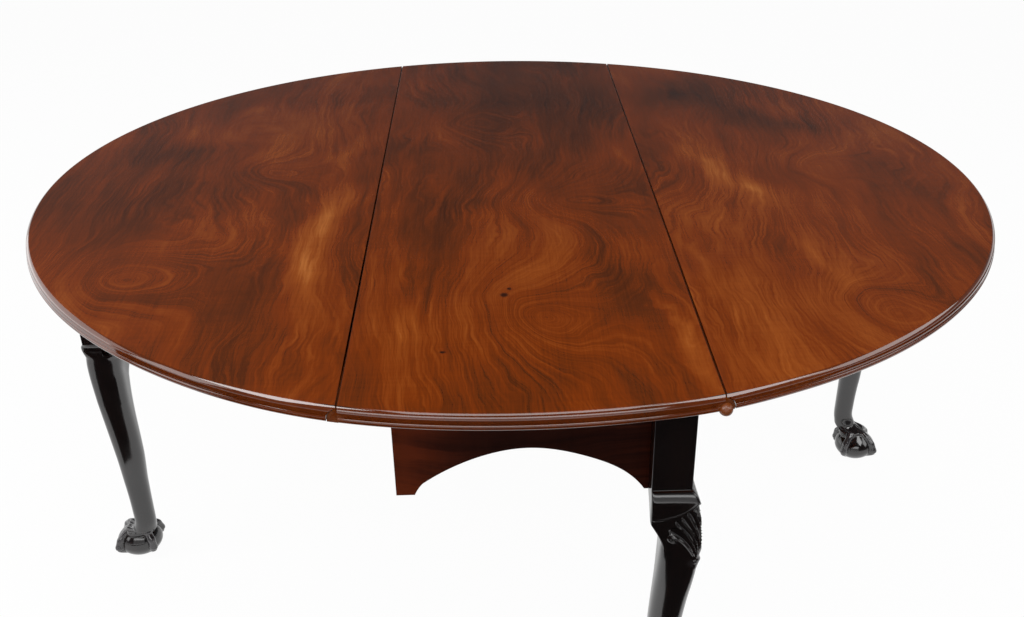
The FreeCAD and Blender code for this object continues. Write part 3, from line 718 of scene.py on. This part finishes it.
def footRadius(near, polar, heel):
    s = toeShape
    ball = legShape["ballRadius"]
    degrees = math.degrees(polar)
    tall, wide = s["height"], s["width"] * (1 + s["flare"] * smoothStep(*s["flareSpan"], degrees))
    for centre, width, extra in s["knuckles"]:
        tall += extra * bump(degrees, centre, width)
        wide += s["knuckleWide"] * bump(degrees, centre, width)
    root, rest = s["rootShare"]
    tall *= root + rest * smoothStep(*s["toeRise"], degrees)  # the toes grow out of the ankle
    talon = smoothStep(s["talonStart"], s["talonEnd"], degrees)
    groove = bump(degrees, s["talonStart"] - 1, s["grooveTurn"])
    tall = tall * (1 - talon ** s["talonPower"]) + s["base"] - s["grooveDeep"] * groove
    wide = wide * (1 - s["talonThin"] * talon) - s["grooveNarrow"] * groove
    arc = abs(near) * math.sin(polar) * ball
    toe = tall * max(0.0, 1 - (arc / wide) ** 2) ** s["roundness"] if degrees < s["talonEnd"] else 0.0
    capEdge = s["capLow"] + s["capToe"] * math.cos(2 * near) ** 4 * (1 - heel) + s["capHeel"] * heel
    cap = s["capHeight"] * smoothStep(capEdge, capEdge - s["capFade"], degrees)
    cap += s["capLip"] * bump(degrees, capEdge - s["lipPlace"][0], s["lipPlace"][1])
    return ball + max(toe, cap), max(toe, cap) - s["capWearAndSheen"] * cap


def footPoint(angle, polar):
    s, toes = legShape, toeShape
    sx, sy = squarePoint(angle, 2)
    angle = math.atan2(sy, sx)
    near = (angle + math.pi / 4) % (math.pi / 2)  # turn from the nearest toe
    near = near - math.pi / 2 if near > math.pi / 4 else near
    heel = smoothStep(*toes["heelTurn"], -math.cos(angle + math.pi / 4))
    radius, raised = footRadius(near, polar, heel)
    degrees = math.degrees(polar)
    spread = s["footWaist"] + s["footSpread"] * smoothStep(*toes["spreadSpan"], degrees)
    spread += (s["footWaist"] + s["footSpread"] - spread) * heel * smoothStep(*toes["heelSpan"], degrees)
    wide = math.sin(polar)
    if polar < math.pi / 2:  # the heel stands straight under the ankle
        wide += max(0.0, toes["heelFill"] - wide) * heel
    out = Vector((math.cos(angle), math.sin(angle), 0)) * spread
    offset = s["footOffset"] * math.sqrt(0.5)
    spot = Vector((offset, -offset, s["ballHeight"])) + radius * (
        out * wide + Vector((0, 0, s["ballSquash"] * math.cos(polar))))
    spot.z = max(spot.z, 0.0)
    return spot, raised


def earAt(z, inward):
    # how far the bracket at the end of a carved face still holds the post's width
    s = legShape
    share = (z - s["earInner"] * max(inward, 0.0) - s["earLow"]) / (s["earTop"] - s["earLow"])
    return min(max(share, 0.0), 1.0) ** s["earPower"]


def fillAt(rows, z):
    for above, below in zip(rows, rows[1:]):
        if z > below[0]:
            break
    t = smoothStep(above[0], below[0], z)
    return above[1] + (below[1] - above[1]) * t, above[2] + (below[2] - above[2]) * t


def shaftPoint(angle, z, sideEar):
    s = legShape
    offset, half, power, swell = sectionAt(z)
    thicker, inset = fillAt(s["fixedFill" if sideEar else "gateFill"], z)
    half, offset = half * thicker, offset - inset
    sx, sy = squarePoint(angle, power)
    if sy > 0 and (sx < 0 or not sideEar):  # corners without a bracket round off right under the post
        power += (min(power, s["roundPower"]) - power) * smoothStep(*s["roundSpan"], z)
        sx, sy = squarePoint(angle, power)
    frontEar = earAt(z, (sy + 1) / 2)
    backEar = earAt(z, (1 - sx) / 2) if sideEar else 0.0
    toward = max(0.0, (sx - sy) / 2)
    shift = (offset + swell * toward ** 3) * math.sqrt(0.5)
    x = half * sx + shift * (1 - frontEar + frontEar * (sx + 1) / 2)
    y = half * sy - shift * (1 - backEar + backEar * (1 - sy) / 2)
    normal = Vector((math.copysign(abs(sx) ** (power - 1), sx),
                     math.copysign(abs(sy) ** (power - 1), sy), 0)).normalized()
    raised = 0.0
    if s["carvedLow"][0] < z < s["carvedTop"][0] and (sx > 0 or sy < 0):
        onFront = -sy >= sx
        across = (sx - 1) / 2 if onFront else (-sy - 1) / 2
        facing = smoothStep(*s["carvedFacing"], -normal.y if onFront else normal.x)
        raised = kneeCarving(across * shellShape["faceWidth"], z * 1000) * 0.001 * facing
        raised *= smoothStep(*s["carvedLow"], z) * smoothStep(*s["carvedTop"], z)
        if not sideEar and not onFront:  # the gate leg's side toward its rail is carved only near the ridge
            raised *= smoothStep(*s["gateRidge"], across)
    return Vector((x, y, z)) + normal * raised, raised


def legRings():
    s = legShape
    rings = []
    z = s["shaftTop"]
    while z > s["ankleEnd"]:
        rings.append(("shaft", z))
        z -= next(step for above, step in s["ringSteps"] if z > above)
    rings += [("instep", k / s["instepRings"]) for k in range(s["instepRings"])]
    polar = s["footStart"]
    while polar <= s["footEnd"]:
        rings.append(("foot", math.radians(polar)))
        polar += s["footStep"]
    return rings


def legLattice(sideEar):
    # one leg, worked out once for the fixed legs and once for the gate legs
    s = legShape
    rings = legRings()
    bm = bmesh.new()
    wearAndSheen = bm.verts.layers.float.new("wearAndSheen")
    spunLine(bm, [(1, 0, k) for k in range(len(rings))], s["around"])
    for v in bm.verts:
        angle = math.atan2(v.co.y, v.co.x)
        kind, value = rings[round(v.co.z)]
        if kind == "shaft":
            spot, raised = shaftPoint(angle, value, sideEar)
        elif kind == "foot":
            spot, raised = footPoint(angle, value)
        else:
            upper, _ = shaftPoint(angle, s["ankleEnd"], sideEar)
            lower, raised = footPoint(angle, math.radians(s["footStart"] - s["footStep"]))
            drop = value * (s["instepDrop"][0] - s["instepDrop"][1] * value)
            flow = value ** s["instepFlow"]
            spot = Vector((*upper.xy.lerp(lower.xy, flow), upper.z + (lower.z - upper.z) * drop))
            raised *= value
        v.co = spot
        # wear and painted sheen on the raised carving and toes
        v[wearAndSheen] = min(max(raised / s["wearAndSheenRise"], 0.0), 1.0)
    return meshFrom("leg_lattice", bm)


def clearNotch(bm, notched):
    # keeps the gate leg's upper block clear of the corner that the frame fills
    edgeX, edgeY = notched["x"] + notched["room"], notched["y"] - notched["room"]
    half = legShape["postHalf"]
    wide, deep = edgeX + half, half - edgeY
    for v in bm.verts:
        if v.co.z > notched["low"] and v.co.x < edgeX and v.co.y > edgeY:
            across, inward = (edgeX - v.co.x) / wide, (v.co.y - edgeY) / deep
            least = min(across, inward)  # folds the corner of the section in to an L
            v.co.x, v.co.y = edgeX - wide * (across - least), edgeY + deep * (inward - least)


def makePost(topZ, notched):
    half, ease, bottom = legShape["postHalf"], legShape["postEase"], legShape["postBottom"]
    post = bmesh.new()
    corners = [(-half, -half), (half, -half), (half, half)]
    if notched:
        corners += [(notched["x"], half), (notched["x"], notched["y"]), (-half, notched["y"])]
    else:
        corners += [(-half, half)]
    face = post.faces.new([post.verts.new((x, y, bottom)) for x, y in corners])
    shiftGrown(post, bmesh.ops.extrude_face_region(post, geom=[face]), (0, 0, topZ - bottom))
    bmesh.ops.recalc_face_normals(post, faces=post.faces)
    easeEdges(post, post.edges[:], ease, 3)
    wearAndSheen = post.verts.layers.float.new("wearAndSheen")
    for v in post.verts:
        # painted highlight along the post's eased edges
        onEdge = sum(abs(abs(a) - half) < ease * legShape["edgeShare"] for a in v.co.xy) == 2
        v[wearAndSheen] = legShape["edgeSheen"] if onEdge else 0.0
    return meshFrom("post", post)


def makeLeg(name, body, turned, notched):
    low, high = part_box(name)
    half = legShape["postHalf"]
    centre = (high.x - half, low.y + half) if turned else (low.x + half, high.y - half)
    bm = bmesh.new()
    bm.from_mesh(lattices[bool(notched)])
    if notched:
        clearNotch(bm, notched)
    rims = [e for e in bm.edges if len(e.link_faces) == 1]
    bmesh.ops.holes_fill(bm, edges=rims, sides=0)
    post = makePost(high.z, notched)
    bm.from_mesh(post)
    bpy.data.meshes.remove(post)
    bmesh.ops.recalc_face_normals(bm, faces=bm.faces)
    spin = Matrix.Rotation(math.pi, 4, "Z") if turned else Matrix.Identity(4)
    bmesh.ops.transform(bm, matrix=Matrix.Translation((*centre, 0)) @ spin, verts=bm.verts)
    piece = newPiece(name + "_carved", bm, body, legWood, legShape["smoothAngle"])
    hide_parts(name)


lattices = {False: legLattice(True), True: legLattice(False)}  # a gate leg is notched and has one bracket
gateNotch = {"x": -0.0005, "y": 0.0075, "room": 0.0006, "low": 0.4660}
for legName, body, turned, notched in (
        ("front_right_leg", "frame", False, None), ("back_left_leg", "frame", True, None),
        ("left_gate_leg", "left_gate", True, gateNotch), ("right_gate_leg", "right_gate", False, gateNotch)):
    makeLeg(legName, body, turned, notched)
for lattice in lattices.values():
    bpy.data.meshes.remove(lattice)
print("legs made")


# Aprons, rails and blocks, eased from the frame's own pieces

easeShape = {"apron": 0.0015, "rail": 0.0012, "block": 0.002, "sharpTurn": 40, "segments": 2}


def easedCopy(nodeName, body, material, width):
    # copy of a frame piece with its sharp edges worn round
    bm = mergedCopy(nodeName)
    easeEdges(bm, sharpEdges(bm, easeShape["sharpTurn"]), width, easeShape["segments"], True)
    piece = newPiece(nodeName + "_wood", bm, body, material)
    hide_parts(nodeName)


for apronName in ("front_apron", "back_apron"):
    easedCopy(apronName, "frame", apronWood, easeShape["apron"])
for side in ("left", "right"):
    easedCopy(side + "_swing_rail", side + "_gate", railWood, easeShape["rail"])
    easedCopy(side + "_knuckle_rail", "frame", railWood, easeShape["rail"])
    for railName in ("inner_rail", "packing_rail"):
        easedCopy(side + "_" + railName, "frame", oakWood, easeShape["rail"])
for blockName in ("middle_cross_rail", "top_glue_blocks", "corner_glue_blocks"):
    easedCopy(blockName, "frame", oakWood, easeShape["block"])
print("frame pieces eased")


# Pegs, a little proud and rounded at the ends

pegShape = {"proud": 0.00008, "ease": 0.0003, "sharpTurn": 60, "segments": 2}


def proudPegs(nodeName, body):
    bm = mergedCopy(nodeName)
    for v in bm.verts:
        v.co += v.normal * pegShape["proud"]
    easeEdges(bm, sharpEdges(bm, pegShape["sharpTurn"]), pegShape["ease"], pegShape["segments"])
    piece = newPiece(nodeName + "_proud", bm, body, legWood)
    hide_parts(nodeName)


for pegName, body in (("fixed_leg_pegs", "frame"), ("left_gate_pegs", "left_gate"),
                      ("right_gate_pegs", "right_gate")):
    proudPegs(pegName, body)

for thing in nodes.values():
    if not thing.hide_render:  # what still shows of the frame is the iron
        thing.data.materials.clear()
        thing.data.materials.append(hingeIron)
print("pegs and iron made")


# Floor, light and camera

stageLook = {
    "wallRadius": 14.0, "wallHeight": 1.6, "wallSteps": 96, "floorColor": (0.95, 0.95, 0.95),
    "whiteShare": 0.97, "matteRough": 0.9, "flagColor": (0.02, 0.02, 0.02), "flagHeight": 0.002,
    "flagEdge": [(-9.0, -12.0), (-9.0, -0.3), (-1.75, -0.25), (-1.70, -1.0), (-1.30, -0.95), (-0.99, -0.44),
                 (-0.84, -0.62), (-0.36, -0.80), (-0.15, -0.97), (0.06, -0.93), (0.14, -0.85), (0.36, -0.74),
                 (0.55, -0.66), (0.62, -0.90), (1.3, -1.3), (1.9, -1.0), (2.1, -0.4), (2.15, 0.3), (2.3, 3.0),
                 (9.0, 3.0), (9.0, -12.0)],
    "sideTones": [(0.2, (0.03, 0.03, 0.031)), (0.35, (0.030, 0.030, 0.031)), (0.46, (0, 0, 0)),
                  (0.54, (0, 0, 0)), (0.65, (0.052, 0.052, 0.055)), (0.8, (0.055, 0.055, 0.058))],
    "worldTones": [(0.0, (0.20, 0.20, 0.21)), (0.15, (0.14, 0.14, 0.147)), (0.25, (0.085, 0.085, 0.09)),
                   (0.34, (0.058, 0.058, 0.061)), (0.42, (0.03, 0.03, 0.031)), (1.0, (0.015, 0.015, 0.015))],
}


def matte(bsdf, color):
    bsdf.inputs["Base Color"].default_value = (*color, 1)
    bsdf.inputs["Roughness"].default_value = stageLook["matteRough"]
    bsdf.inputs["Specular IOR Level"].default_value = 0.0


def whiteStage(name):
    # white to the camera and to mirrors, and still darkened a little by the table's shadow
    material, tree, bsdf = newMaterial(name)
    matte(bsdf, stageLook["floorColor"])
    glow = shaderNode(tree, "ShaderNodeEmission", {"Color": (1, 1, 1, 1), "Strength": 1.0})
    rays = shaderNode(tree, "ShaderNodeLightPath")
    seen = mathNode(tree, "MAXIMUM", rays.outputs["Is Camera Ray"], rays.outputs["Is Glossy Ray"])
    seen = mathNode(tree, "MAXIMUM", seen, rays.outputs["Is Transmission Ray"])
    share = mathNode(tree, "MULTIPLY", seen, stageLook["whiteShare"])
    mixed = shaderNode(tree, "ShaderNodeMixShader", {0: share, 1: bsdf.outputs[0], 2: glow.outputs[0]})
    tree.links.new(mixed.outputs[0], tree.nodes["Material Output"].inputs["Surface"])
    return material


def makeStage():
    bm = bmesh.new()
    bmesh.ops.create_circle(bm, cap_ends=True, segments=stageLook["wallSteps"],
                            radius=stageLook["wallRadius"])
    outline = [e for e in bm.edges if e.is_boundary]
    shiftGrown(bm, bmesh.ops.extrude_edge_only(bm, edges=outline), (0, 0, stageLook["wallHeight"]))
    floor = linked("paper_floor", meshFrom("paper_floor", bm))
    floor.data.materials.append(whiteStage("white_paper"))


def makeFlag():
    # dark studio floor in front of the paper, which only polished surfaces see
    material, tree, bsdf = newMaterial("dark_studio_floor")
    matte(bsdf, stageLook["flagColor"])
    bm = bmesh.new()
    bm.faces.new([bm.verts.new((x, y, stageLook["flagHeight"])) for x, y in stageLook["flagEdge"]])
    bmesh.ops.recalc_face_normals(bm, faces=bm.faces)
    flag = linked("dark_studio_floor", meshFrom("dark_studio_floor", bm))
    flag.data.materials.append(material)
    flag.visible_camera = flag.visible_diffuse = flag.visible_shadow = flag.visible_transmission = False


def makeWorld():
    world = bpy.data.worlds.new("studio")
    bpy.context.scene.world = world
    world.use_nodes = True
    tree = world.node_tree
    sky = shaderNode(tree, "ShaderNodeTexCoord").outputs["Generated"]
    apart = shaderNode(tree, "ShaderNodeSeparateXYZ", {0: sky})
    aside = mathNode(tree, "MULTIPLY_ADD", apart.outputs[0], -0.5, 0.5)
    sides = rampNode(tree, aside, stageLook["sideTones"], "LINEAR")
    above = rampNode(tree, apart.outputs[2], stageLook["worldTones"], "LINEAR")
    glow = mixColor(tree, 1.0, above, sides, "ADD")
    direct = shaderNode(tree, "ShaderNodeLightPath").outputs["Is Camera Ray"]  # plain white behind the table
    tree.links.new(mixColor(tree, direct, glow, (1, 1, 1)), tree.nodes["Background"].inputs["Color"])


def softBox(name, place, aim, size, power):
    lamp = bpy.data.lights.new(name, "AREA")
    lamp.shape, lamp.size, lamp.size_y, lamp.energy = "RECTANGLE", *size, power
    thing = linked(name, lamp)
    thing.location = place
    thing.rotation_mode = "QUATERNION"
    thing.rotation_quaternion = (Vector(aim) - Vector(place)).to_track_quat("-Z", "Y")


lampLooks = [  # name, place, aim, size, power
    ("overhead_softbox", (0.0, -0.95, 3.2), (0.0, -0.95, 0.7), (1.8, 1.9), 33.0),
    ("left_top_softbox", (-2.05, -1.1, 3.1), (0, -0.4, 0.7), (1.4, 1.7), 46.0),
    ("right_top_softbox", (1.75, -1.25, 3.0), (0, -0.4, 0.7), (1.2, 1.6), 25.0),
    ("front_softbox", (-0.3, -3.1, 2.6), (-0.1, -0.8, 0.5), (3.8, 0.8), 28.0),
    ("front_fill", (-0.3, -3.3, 1.2), (0, -0.8, 0.5), (3.6, 1.8), 10.0),
    ("left_softbox", (-3.6, -1.0, 1.9), (0, 0, 0.6), (1.2, 1.8), 14.0),
    ("left_back_softbox", (-4.0, 1.5, 1.4), (-0.6, -0.2, 0.7), (3.6, 2.6), 34.0),
    ("right_back_softbox", (3.6, -0.3, 2.5), (0.6, -0.5, 0.7), (2.8, 1.4), 28.0),
]
makeStage()
makeFlag()
for lampLook in lampLooks:
    softBox(*lampLook)
makeWorld()

cameraLook = {"place": (-0.05144, -2.09174, 1.45828), "yaw": 0.05498, "down": 0.56915, "roll": 0.002563,
              "focal": 1185.03, "axisX": 548.74, "axisY": 451.84, "imageWidth": 1024, "imageHeight": 617,
              "sensor": 36.0}


def makeCamera(look):
    lens = bpy.data.cameras.new("photo_camera")
    lens.sensor_width = look["sensor"]
    lens.lens = look["focal"] * look["sensor"] / look["imageWidth"]
    lens.shift_x = (look["imageWidth"] / 2 - look["axisX"]) / look["imageWidth"]
    lens.shift_y = (look["axisY"] - look["imageHeight"] / 2) / look["imageWidth"]
    yaw, down, roll = look["yaw"], look["down"], look["roll"]
    ahead = Vector((math.sin(yaw) * math.cos(down), math.cos(yaw) * math.cos(down), -math.sin(down)))
    right = Vector((math.cos(yaw), -math.sin(yaw), 0))
    up = right.cross(ahead)
    tiltRight = right * math.cos(roll) + up * math.sin(roll)
    tiltUp = up * math.cos(roll) - right * math.sin(roll)
    camera = linked("photo_camera", lens)
    turn = Matrix((tiltRight, tiltUp, -ahead)).transposed().to_4x4()
    camera.matrix_world = Matrix.Translation(look["place"]) @ turn
    bpy.context.scene.camera = camera


makeCamera(cameraLook)
bpy.context.scene.view_settings.view_transform = "Standard"
print("stage, lamps and camera made")
